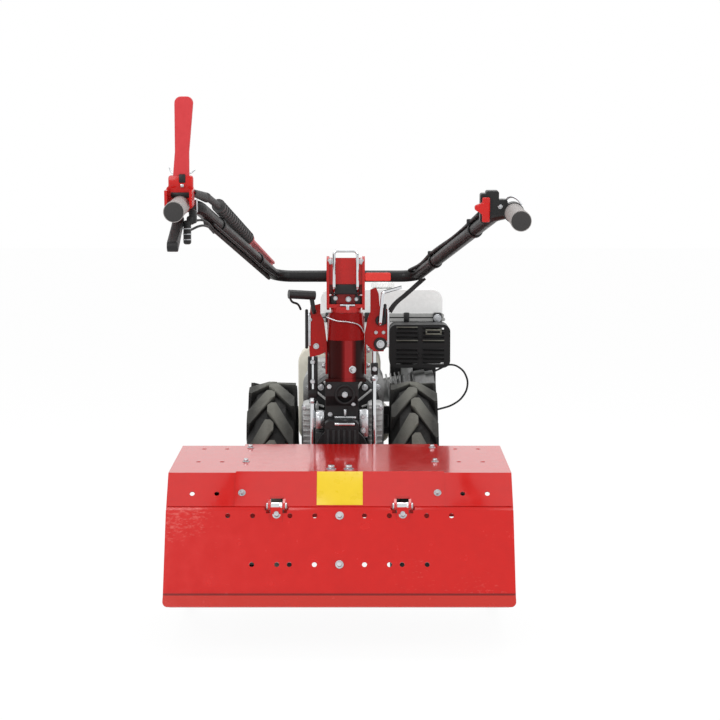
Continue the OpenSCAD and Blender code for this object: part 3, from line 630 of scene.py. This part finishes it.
wire("cowl_wire",
     [(-34, -334, 640), (-12, -341, 632), (16, -344, 629), (38, -334, 622), (50, -318, 604)], 1.6,
     zinc, "chassis")
for shift in (0, 6):
    points = [(x + shift, y, z) for x, y, z in (
        (104, -297, 648), (116, -297, 666), (142, -298, 689), (182, -302, 725))]
    run = wire("plate_wire", points, 3.2, cable_rubber, "chassis")
    bending(run)
wire("lever_hook", [(-116, -344, 690), (-112, -340, 676), (-98, -330, 668), (-92, -322, 656)], 2.5,
     black_paint, "chassis")

# Tiller
# A cast gear case and a pressed steel hood in red enamel, with bent skids and a welded rotor in black. The
# hood's enamel is smooth and the glossiest on the machine, so it mirrors what stands over it.
hood_red = finish_material(
    "baked_red_enamel_on_hood", "#c00d08", "#cb130d", 6, (0.14, 0.2), ior=1.5, bump=0.001, coat=0.4)
eased("tiller_case", 3, red)
eased("hood_center", 1.2, hood_red)
eased("hood_wings", 1.2, hood_red)
dress(black_paint, "depth_skids", "tine_rotor")
dress(chrome, "hinge_pins")
PANEL_TOP = Vector((0, -722, 350))
PANEL_FOOT = Vector((0, -771, 286.4))
PANEL_OUT = Vector((0, -0.792, 0.610))
TOP_FRONT = Vector((0, -416, 364))
TOP_OUT = Vector((0, -0.046, 0.999))
HOOD_HALF = 350


def on_panel(x, share, out=0.0):
    """A point on the hood's rear panel, some way down from its top edge and out from its face."""
    return PANEL_TOP.lerp(PANEL_FOOT, share) + Vector((x, 0, 0)) + PANEL_OUT * out


def on_top(x, y):
    """A point on the hood's upper face."""
    share = (y - TOP_FRONT.y) / (PANEL_TOP.y - TOP_FRONT.y)
    return TOP_FRONT.lerp(PANEL_TOP, share) + Vector((x, 0, 0))


form = bmesh.new()
for x in (-198, 198):
    hex_bolt(form, on_panel(x, 0.62), PANEL_OUT, 9)
    for y in (-460, -620):
        hex_bolt(form, on_top(x, y), TOP_OUT, 9)
for x in (-18, 18):
    hex_bolt(form, on_top(x, -700), TOP_OUT, 12)
for side in (-1, 1):
    for y, z in ((-470, 186), (-690, 196)):
        hex_bolt(form, (side * HOOD_HALF, y, z), (side, 0, 0), 12)
made_piece("hood_bolts", form, zinc, "chassis")

# Hinge hardware
# The flap hangs on two chromed pins in the hood's ears. A turned collar with zinc plate is pressed on each
# end of a pin.
HINGE_XS = (-127, 127)
HINGE_Y, HINGE_Z = -772, 287
form = bmesh.new()
for x in HINGE_XS:
    for end in (-1, 1):
        bush(form, (x + end * 18, HINGE_Y, HINGE_Z), (end, 0, 0), 6.5, 4.1, 3)
made_piece("hinge_collars", form, zinc, "chassis")

# Blank plate
# A thin sheet plate stuck on the middle of the rear panel. It is enamelled an even, half-glossy yellow and
# has eased edges.
PLATE_W, PLATE_H, PLATE_THICK = 93, 77, 1.2
yellow = finish_material("yellow_enamel", "#e0bd12", "#ecca22", 5, (0.25, 0.35), bump=0.02)
where = facing(on_panel(0, 0.49), PANEL_OUT)
form = bmesh.new()
size = Matrix.Diagonal((PLATE_W * MM, PLATE_H * MM, 1, 1))
bmesh.ops.create_grid(form, x_segments=1, y_segments=1, size=0.5, matrix=where @ size)
grown = bmesh.ops.extrude_face_region(form, geom=form.faces[:])["geom"]
raised = [v for v in grown if isinstance(v, bmesh.types.BMVert)]
bmesh.ops.translate(form, vec=PANEL_OUT * PLATE_THICK * MM, verts=raised)
round_edges(form, form.verts, 0.4)
made_piece("blank_plate", form, yellow, "chassis")

# Rear flap
# A hinged steel sheet in red enamel with a folded hem. Stones have left fine pale scuffs in the enamel, most
# of them towards the ends. Bolts hold the hinge leaves and the stop behind it.
flap_red = red.copy()
flap_red.name = "scuffed_red_enamel"
tree = flap_red.node_tree
place = add_node(tree, "TexCoord").outputs["Object"]
stretched = add_node(tree, "Mapping", inputs={0: place, "Scale": (30, 70, 70), "Rotation": (0, 0.5, 0)})
scratch = add_node(tree, "TexNoise", inputs={
    "Vector": stretched.outputs[0], "Scale": 3, "Detail": 6, "Roughness": 0.7})
patch = add_node(tree, "TexNoise", inputs={"Vector": place, "Scale": 5, "Detail": 1})
both = add_node(tree, "Math", {"operation": "MULTIPLY"}, {0: scratch.outputs["Fac"], 1: patch.outputs["Fac"]})
across = add_node(tree, "SeparateXYZ", inputs={0: place}).outputs["X"]
out = add_node(tree, "Math", {"operation": "ABSOLUTE"}, {0: across})
outer = add_node(tree, "MapRange", inputs={
    "Value": out.outputs[0], "From Min": 0.08, "From Max": 0.28, "To Min": 0.82, "To Max": 1.12})
struck = add_node(tree, "Math", {"operation": "MULTIPLY"}, {0: both.outputs[0], 1: outer.outputs[0]})
worn = add_node(tree, "MapRange", inputs={
    "Value": struck.outputs[0], "From Min": 0.36, "From Max": 0.46, "To Min": 0.0, "To Max": 0.5})
shader = tree.nodes["Principled BSDF"]
base = shader.inputs["Base Color"].links[0].from_socket
mixed = add_node(tree, "Mix", {"data_type": "RGBA"}, {0: worn.outputs[0], 6: base, 7: colour("#dd6e66")})
tree.links.new(mixed.outputs[2], shader.inputs["Base Color"])
HEM_Z = 122.5
# Below HEM_Z the flap takes a tone of its own, and the dark line along the fold is painted shade.
zoned(flap_red, "Z", 0, HEM_Z, "#bd2a20")
zoned(flap_red, "Z", HEM_Z - 1.5, HEM_Z + 1.5, "#7d100c")
eased("rear_flap", 1.2, flap_red)
FLAP_TOP = Vector((0, -775.7, 278.8))
FLAP_DOWN = Vector((0, -0.4067, -0.9135))
FLAP_OUT = Vector((0, -0.9135, 0.4067))
form = bmesh.new()
for x, drop, lift in ((0, 11, 0), (0, 111, 0), (HINGE_XS[0], 9, 2), (HINGE_XS[1], 9, 2)):
    hex_bolt(form, FLAP_TOP + FLAP_DOWN * drop + FLAP_OUT * lift + Vector((x, 0, 0)), FLAP_OUT, 10)
made_piece("flap_bolts", form, zinc, "flap")
LIP_H, LIP_THICK = 7.5, 2.5
form = bmesh.new()
for start, stop in ((-349, -151), (-103, 103), (151, 349)):
    middle = FLAP_TOP - FLAP_DOWN * 3 - FLAP_OUT * LIP_THICK / 2 + Vector(((start + stop) / 2, 0, 0))
    size = Matrix.Diagonal(((stop - start) * MM, LIP_H * MM, LIP_THICK * MM, 1))
    lip = bmesh.ops.create_cube(form, size=1, matrix=facing(middle, FLAP_OUT) @ size)
    round_edges(form, lip["verts"], 0.6)
made_piece("flap_lip", form, flap_red, "flap")
form = bmesh.new()
for x in HINGE_XS:
    bush(form, (x - 11, HINGE_Y, HINGE_Z), (1, 0, 0), 7.6, 7.1, 22)
made_piece("hinge_sleeves", form, chrome, "flap")

# Column head
# The steel clamp that holds the handlebar, red enamel, with a chromed bail and a flat locking lever. A
# black pivot block with plated nuts sits under the clamp's face.
head_red = finish_material(
    "baked_red_enamel_on_clamp", "#b01a18", "#ba201d", 6, (0.2, 0.32), ior=1.4, bump=0.02)
eased("head_bracket", 2, head_red)
signal_red = finish_material(
    "baked_signal_red_enamel", "#d8322a", "#e23b32", 6, (0.2, 0.32), ior=1.45, bump=0.02)
eased("lock_lever", 1.5, signal_red)
dress(chrome, "lock_bail")
form = bmesh.new()
bar(form, (-22, -325, 690), (40, -305, 713), 3)
bar(form, (-26, -318, 664), (-12, -304, 690), 3)
bar(form, (30, -318, 664), (44, -304, 690), 3)
made_piece("pivot_block", form, black_plastic, "column_head")
form = bmesh.new()
for x in (-25.5, 43.5):
    hex_bolt(form, (x, -322, 764), BACK, 8)
for x, z, width in ((-14, 681, 8), (15, 679, 10), (33, 679, 7)):
    hex_bolt(form, (x, -318, z), BACK, width, 1.35)
bar(form, (-4, -330, 664), (30, -306, 668), 1)
bar(form, (9, -334, 655), (17, -328, 668), 1.5)
for x, side in ((-34, -1), (52, 1)):
    hex_bolt(form, (x, -300, 730), (side, 0, 0), 16, 1.0)
made_piece("head_hardware", form, zinc, "column_head")

# Handlebar
# A bent steel tube in black enamel with moulded rubber grips. The sleeves are pale and dusty, their end
# caps dark.
grip_rubber = finish_material("moulded_grip_rubber", "#8d8886", "#a5a09e", 1.5, (0.55, 0.75), bump=0.3)
cap_rubber = finish_material("moulded_cap_rubber", "#2a2929", "#3a3838", 1.5, (0.5, 0.7), ior=1.4, bump=0.3)
dress(black_paint, "handlebar_tube")
dress(grip_rubber, "grips")
dress(cable_rubber, "control_cables")
GRIPS = {
    "left": (Vector((-286.0, -1188.2, 880.0)), Vector((0.0112, -0.9966, -0.0858))),
    "right": (Vector((324.0, -1188.2, 864.0)), Vector((0.0112, -0.9938, -0.1035))),
}
form = bmesh.new()
for tip, axis in GRIPS.values():
    end = bmesh.ops.create_cone(
        form, cap_ends=True, segments=40, radius1=17.6 * MM, radius2=16.4 * MM, depth=2 * MM,
        matrix=facing(tip + axis * 0.6, axis))
    round_edges(form, end["verts"], 0.6)
made_piece("grip_caps", form, cap_rubber, "handlebar")

# Arm cables
# Rubber-covered wires lie beside the main cable on each arm, held to the tube by moulded ties. A thin plated
# wire runs out of the throttle.
for name, radius, points in (
    ("left_arm_wire", 2.5, [(-239, -913, 856), (-195, -640, 794), (-162, -436, 747), (-151, -368, 734)]),
    ("left_lever_wire", 2.2, [
        (-268, -1046, 861), (-256, -1022, 864), (-247, -975, 860), (-243, -920, 851), (-240, -878, 842)]),
    ("left_clutch_wire", 2.2, [
        (-270, -1050, 846), (-256, -1022, 853), (-246, -975, 852), (-243, -920, 845), (-241, -878, 838)]),
    ("right_arm_wire", 2.2, [(271, -930, 876), (222, -640, 817), (184, -436, 774), (172, -370, 758)]),
    ("right_arm_cable", 4, [
        (268, -915, 875), (236, -700, 830), (194, -504, 788), (172, -380, 758), (152, -316, 744)]),
):
    wire(name, points, radius, cable_rubber, "handlebar")
wire("throttle_wire", [(306, -1056, 899), (313, -1064, 906), (324, -1078, 904), (333, -1090, 893)], 1.8,
     zinc, "handlebar")
ARMS = {
    "left": (Vector((-149, -300, 730)), Vector((-259.4, -981, 886.1))),
    "right": (Vector((167, -300, 730)), Vector((292.7, -981, 873.9))),
}
form = bmesh.new()
for foot, head in ARMS.values():
    for share in (0.28, 0.78):
        place = foot.lerp(head, share)
        bush(form, place, head - foot, 15.8, 13.1, 8)
        bar(form, place + Vector((-16, -6, 10)), place + Vector((-6, 2, 22)), 2)
made_piece("arm_ties", form, black_plastic, "handlebar")

# Hand controls
# Moulded levers and housings are clamped inside the grips: a tall red engaging lever and a black clutch lever
# on the left, a throttle with a red thumb lever on the right. Their edges are round, and the screws plated.
def moulded(name, material, skin_mm, rounds):
    """A copy of a solid with all its edges melted round, in the solid's place."""
    piece = eased(name, 1, material)
    piece.modifiers.clear()
    skin = piece.modifiers.new("even_skin", "REMESH")
    skin.mode = "VOXEL"
    skin.voxel_size = skin_mm * MM
    skin.use_smooth_shade = True
    soft = piece.modifiers.new("melted_edges", "SMOOTH")
    soft.factor = 0.5
    soft.iterations = rounds


lever_red = finish_material("moulded_red_plastic", "#c32c31", "#cd363b", 3, (0.4, 0.55), ior=1.46, bump=0.06)
moulded("engage_lever", lever_red, 1.2, 14)
moulded("clutch_lever", black_plastic, 1.2, 20)
eased("lever_bracket", 2, red)
eased("throttle_housing", 2.5, black_plastic)
eased("throttle_lever", 2, red)
ribbed = finish_material("moulded_ribbed_rubber_with_painted_highlight", "#3c3c3d", "#4d4d4d", 1.5, (0.5, 0.7), ior=1.4, bump=0.2)
# The lever's shank forward of Y -240 gets a light pinkish red: its red paint, lightened as a painted
# highlight.
zoned(ribbed, "Y", -240, 400, "#c4686a")
dress(ribbed, "reverse_lever")
form = bmesh.new()
bar(form, (-289, -1064, 932), (-277, -1056, 948), 2)
bar(form, (-304, -1063, 905), (-269, -1057, 915), 2)
bar(form, (-272, -1060, 858), (-258, -1040, 884), 4)
bar(form, (-282, -1064, 820), (-268, -1050, 864), 4)
bar(form, (-276, -1062, 856), (-262, -1044, 872), 4)
made_piece("control_housings", form, black_plastic, "handlebar")
form = bmesh.new()
bar(form, (-309, -1062, 919), (-263, -1052, 946), 5)
made_piece("bracket_shoulders", form, red, "handlebar")
form = bmesh.new()
bar(form, (-286, -1065, 924), (-280, -1060, 930), 1)
hex_bolt(form, (297, -1060, 890), BACK, 6)
for z in (828, 838, 848):
    bar(form, (-282.6, -1064.6, z), (-267.4, -1058, z + 2), 0.5)
bar(form, (-262, -1034, 878), (-258, -1026, 902), 1)
made_piece("control_screws", form, zinc, "handlebar")
BOOT_LOW = Vector((-248.5, -946, 905.5))
BOOT_TOP = Vector((-265, -1036, 914))
BOOT_FOLDS = 11
form = bmesh.new()
for step in range(BOOT_FOLDS):
    fold_r = 9.4 - 0.25 * step - 0.8 * (step % 2)
    bush(form, BOOT_LOW.lerp(BOOT_TOP, step / BOOT_FOLDS), BOOT_TOP - BOOT_LOW, fold_r, 3, 8.4)
made_piece("lever_boot", form, ribbed, "handlebar")
wire("lever_spring", [(-308, -1040, 960), (-302, -1048, 950), (-270, -1048, 950), (-262, -1040, 956)], 1.6,
     zinc, "handlebar")

# Wheels
# Cross-ply farm tyres with chevron lugs on silver-painted pressed rims. The rubber is dull, and dusty grey
# on the tops of the lugs.
WHEEL_X, WHEEL_Z = 170, 230
DISC_IN = 6
NUTS, NUT_CIRCLE = 5, 46
tyre_rubber = finish_material("moulded_tyre_rubber", "#1a1a1a", "#282827", 4, (0.6, 0.85), ior=1.35, bump=0.3)
tree = tyre_rubber.node_tree
place = add_node(tree, "TexCoord").outputs["Object"]
offset = add_node(tree, "VectorMath", {"operation": "SUBTRACT"}, {0: place, 1: spot(0, 0, WHEEL_Z)})
turned = add_node(tree, "VectorMath", {"operation": "MULTIPLY"}, {0: offset.outputs[0], 1: (0, 1, 1)})
radius = add_node(tree, "VectorMath", {"operation": "LENGTH"}, {0: turned.outputs[0]})
raised = add_node(tree, "MapRange", inputs={
    "Value": radius.outputs["Value"], "From Min": 217 * MM, "From Max": 226 * MM,
    "To Min": 0.0, "To Max": 1.0})
across = add_node(tree, "SeparateXYZ", inputs={0: place}).outputs["X"]
out = add_node(tree, "Math", {"operation": "ABSOLUTE"}, {0: across})
aside = add_node(tree, "Math", {"operation": "SUBTRACT"}, {0: out.outputs[0], 1: WHEEL_X * MM})
spread = add_node(tree, "Math", {"operation": "ABSOLUTE"}, {0: aside.outputs[0]})
nose = add_node(tree, "MapRange", inputs={
    "Value": spread.outputs[0], "From Min": 8 * MM, "From Max": 42 * MM, "To Min": 1.0, "To Max": 0.18})
dusty = add_node(tree, "Math", {"operation": "MULTIPLY"}, {0: raised.outputs[0], 1: nose.outputs[0]})
shader = tree.nodes["Principled BSDF"]
base = shader.inputs["Base Color"].links[0].from_socket
mixed = add_node(tree, "Mix", {"data_type": "RGBA"}, {0: dusty.outputs[0], 6: base, 7: colour("#6c6c65")})
tree.links.new(mixed.outputs[2], shader.inputs["Base Color"])
rim_silver = finish_material("silver_enamel", "#a4a6a8", "#bfc1c2", 4, (0.25, 0.4), metal=0.5, bump=0.03)
for side, sign in (("left", -1), ("right", 1)):
    eased("tyre_" + side, 3.5, tyre_rubber)
    dress(rim_silver, "wheel_" + side)
    form = bmesh.new()
    for step in range(NUTS):
        turn = step * 2 * math.pi / NUTS
        spoke = Vector((0, math.sin(turn), math.cos(turn))) * NUT_CIRCLE
        hex_bolt(form, Vector((sign * (WHEEL_X - DISC_IN), 0, WHEEL_Z)) + spoke, (sign, 0, 0), 17)
    made_piece("wheel_nuts_" + side, form, zinc, side + "_wheel")
